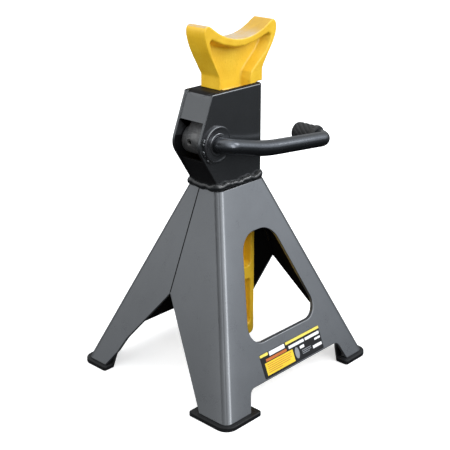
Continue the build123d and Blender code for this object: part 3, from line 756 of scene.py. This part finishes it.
def slab(bm, outline, lo, hi, ink):
    """Flat shape on the label: outline in mm from its lower left corner, lo and hi above the panel."""
    def at(x, y, h):
        return (L0 + lx * (x - LW / 2) + lu * (y - LH / 2) + ny * h) * MM
    low = [bm.verts.new(at(x, y, lo)) for x, y in outline]
    high = [bm.verts.new(at(x, y, hi)) for x, y in outline]
    faces = [bm.faces.new(high), bm.faces.new(low[::-1])]
    n = len(outline)
    for i in range(n):
        j = (i + 1) % n
        faces.append(bm.faces.new((low[i], low[j], high[j], high[i])))
    for f in faces:
        f.material_index = INKS.index(ink)


def box_outline(u0, v0, u1, v1, r=0.3, n=4):
    x0, y0, x1, y1 = u0 * LW, v0 * LH, u1 * LW, v1 * LH
    r = min(r, (x1 - x0) / 2.01, (y1 - y0) / 2.01)
    out = []
    for cx, cy, a0 in ((x1 - r, y1 - r, 0), (x0 + r, y1 - r, 90), (x0 + r, y0 + r, 180), (x1 - r, y0 + r, 270)):
        for k in range(n + 1):
            a = math.radians(a0 + 90 * k / n)
            out.append((cx + r * math.cos(a), cy + r * math.sin(a)))
    return out


bm = bmesh.new()
slab(bm, box_outline(0, 0, 1, 1, 1.2, 8), 0.0, 0.30, "film")
prints = [
    ((0.0, 0.875, 0.128, 0.985), "pale"), ((0.42, 0.875, 1.0, 0.985), "pale"),
    ((0.145, 0.80, 0.40, 0.975), "white"),
    ((0.045, 0.09, 0.505, 0.60), "yellow"), ((0.075, 0.635, 0.415, 0.745), "orange"),
    ((0.455, 0.665, 0.715, 0.785), "white"), ((0.735, 0.665, 0.985, 0.785), "white"),
    ((0.885, 0.49, 0.985, 0.575), "white"), ((0.625, 0.445, 0.70, 0.565), "white"),
    ((0.645, 0.335, 0.80, 0.365), "grey"), ((0.645, 0.265, 0.80, 0.295), "grey"), ((0.645, 0.195, 0.77, 0.225), "grey"),
    ((0.83, 0.19, 0.985, 0.315), "white"),
]
for (u0, v0, u1, v1), ink in prints:
    slab(bm, box_outline(u0, v0, u1, v1), 0.30, 0.345, ink)
# ruled lines inside the yellow block and a plain oval beside it
for v, u1 in ((0.51, 0.47), (0.43, 0.455), (0.35, 0.47), (0.27, 0.44), (0.19, 0.30)):
    slab(bm, box_outline(0.075, v - 0.012, u1, v + 0.012, 0.1), 0.345, 0.350, "orange")
slab(bm, [(LW * 0.565 + 2.5 * math.cos(2 * math.pi * k / 40), LH * 0.36 + 4.6 * math.sin(2 * math.pi * k / 40)) for k in range(40)], 0.30, 0.345, "grey")
stand_in(new_object("label_sticker_form", bm, [INK[i] for i in INKS], 30.0, weighted=False), "stand", "label_sticker")


# ----------------------------------------------------------------------------
# floor and light
# ----------------------------------------------------------------------------
def disc(name, radius, z, seg=96):
    me = bpy.data.meshes.new(name)
    bm = bmesh.new()
    bmesh.ops.create_circle(bm, cap_ends=True, radius=radius, segments=seg)
    bm.to_mesh(me)
    bm.free()
    o = bpy.data.objects.new(name, me)
    o.location.z = z
    scene.collection.objects.link(o)
    return o


floor = disc("studio_floor", 9.0, -0.0002)
fm, ft, fb, fco = new_material("pale_floor")
fb.inputs["Base Color"].default_value = rgb(0.86, 0.86, 0.86)
fb.inputs["Roughness"].default_value = 0.9
fb.inputs["Specular IOR Level"].default_value = 0.1
fb.inputs["Emission Color"].default_value = rgb(1, 1, 1)
fb.inputs["Emission Strength"].default_value = 0.50
floor.data.materials.append(fm)
floor.visible_glossy = False
floor.visible_diffuse = False

world = bpy.data.worlds.new("studio")
scene.world = world
world.use_nodes = True
w = Tree(world.node_tree)
w_out = w.add("ShaderNodeOutputWorld")
w_bg = w.add("ShaderNodeBackground")
w.link(w_bg.outputs[0], w_out.inputs[0])
w_dir = w.add("ShaderNodeTexCoord").outputs["Generated"]
w_sep = w.add("ShaderNodeSeparateXYZ")
w.link(w_dir, w_sep.inputs[0])
up = w_sep.outputs[2]


def lobe(azimuth, elevation, inner, outer, colour, strength):
    """A soft round light in the sky: full within inner degrees of its centre, gone at outer. Azimuth is counted from +X towards +Y."""
    a, e = math.radians(azimuth), math.radians(elevation)
    d = w.add("ShaderNodeVectorMath", operation="DOT_PRODUCT")
    w.link(w_dir, d.inputs[0])
    d.inputs[1].default_value = (math.cos(a) * math.cos(e), math.sin(a) * math.cos(e), math.sin(e))
    f = w.ramp(d.outputs["Value"], math.cos(math.radians(outer)), math.cos(math.radians(inner)), 0.0, strength)
    n = w.add("ShaderNodeMix", data_type="RGBA", blend_type="MIX")
    n.clamp_factor = False
    w.put(n.inputs[0], f)
    n.inputs[6].default_value = rgb(0, 0, 0)
    n.inputs[7].default_value = rgb(*colour)
    return n.outputs[2]


def add_colour(a, b):
    n = w.add("ShaderNodeMix", data_type="RGBA", blend_type="ADD")
    n.inputs[0].default_value = 1.0
    w.put(n.inputs[6], a)
    w.put(n.inputs[7], b)
    return n.outputs[2]


sky = w.mix(w.ramp(up, -0.44, -0.20), rgb(0.006, 0.006, 0.007), rgb(0.120, 0.128, 0.136))
sky = w.mix(w.ramp(up, -0.02, 0.17), sky, rgb(0.46, 0.47, 0.48))
sky = w.mix(w.ramp(up, 0.25, 0.95), sky, rgb(0.80, 0.81, 0.82))
lights = lobe(312, 24, 14, 52, (0.92, 0.98, 1.06), 1.03)
lights = add_colour(lights, lobe(267, 33, 12, 40, (0.97, 1.0, 1.03), 1.4))
sky = add_colour(sky, w.mix(w.ramp(up, -0.02, 0.17), rgb(0, 0, 0), lights))
sky = add_colour(sky, w.mix(w.ramp(up, -0.12, 0.10), rgb(0, 0, 0), lobe(137, 14, 16, 55, (0.98, 1.0, 1.01), 0.56)))
flag = w.add("ShaderNodeSeparateColor")   # a black card between the two lights
w.link(lobe(178, 28, 8, 21, (1.0, 1.0, 1.0), 1.0), flag.inputs[0])
sky = w.mix(flag.outputs[0], sky, rgb(0.03, 0.03, 0.03))
w.link(sky, w_bg.inputs["Color"])
w_bg.inputs["Strength"].default_value = 1.0


def area(name, location, target, sx, sy, power, colour=(1, 1, 1), shows=True):
    d = bpy.data.lights.new(name, "AREA")
    d.shape = "RECTANGLE"
    d.size, d.size_y = sx, sy
    d.energy = power
    d.color = colour
    o = bpy.data.objects.new(name, d)
    scene.collection.objects.link(o)
    o.location = location
    o.rotation_mode = "QUATERNION"
    o.rotation_quaternion = (Vector(target) - Vector(location)).to_track_quat("-Z", "Y")
    o.visible_glossy = shows
    return o


area("top_softbox", (0.1, -0.1, 2.2), (0, 0, 0.1), 2.4, 2.4, 12.0)
area("key_softbox", (1.10, -0.90, 1.05), (0, 0, 0.16), 0.60, 0.60, 6.0)
area("left_softbox", (-1.55, 0.02, 0.46), (0, 0, 0.12), 0.80, 0.80, 11.5, shows=False)
area("front_strip", (0.10, -1.38, 0.62), (0, 0, 0.14), 0.50, 0.80, 4.2)
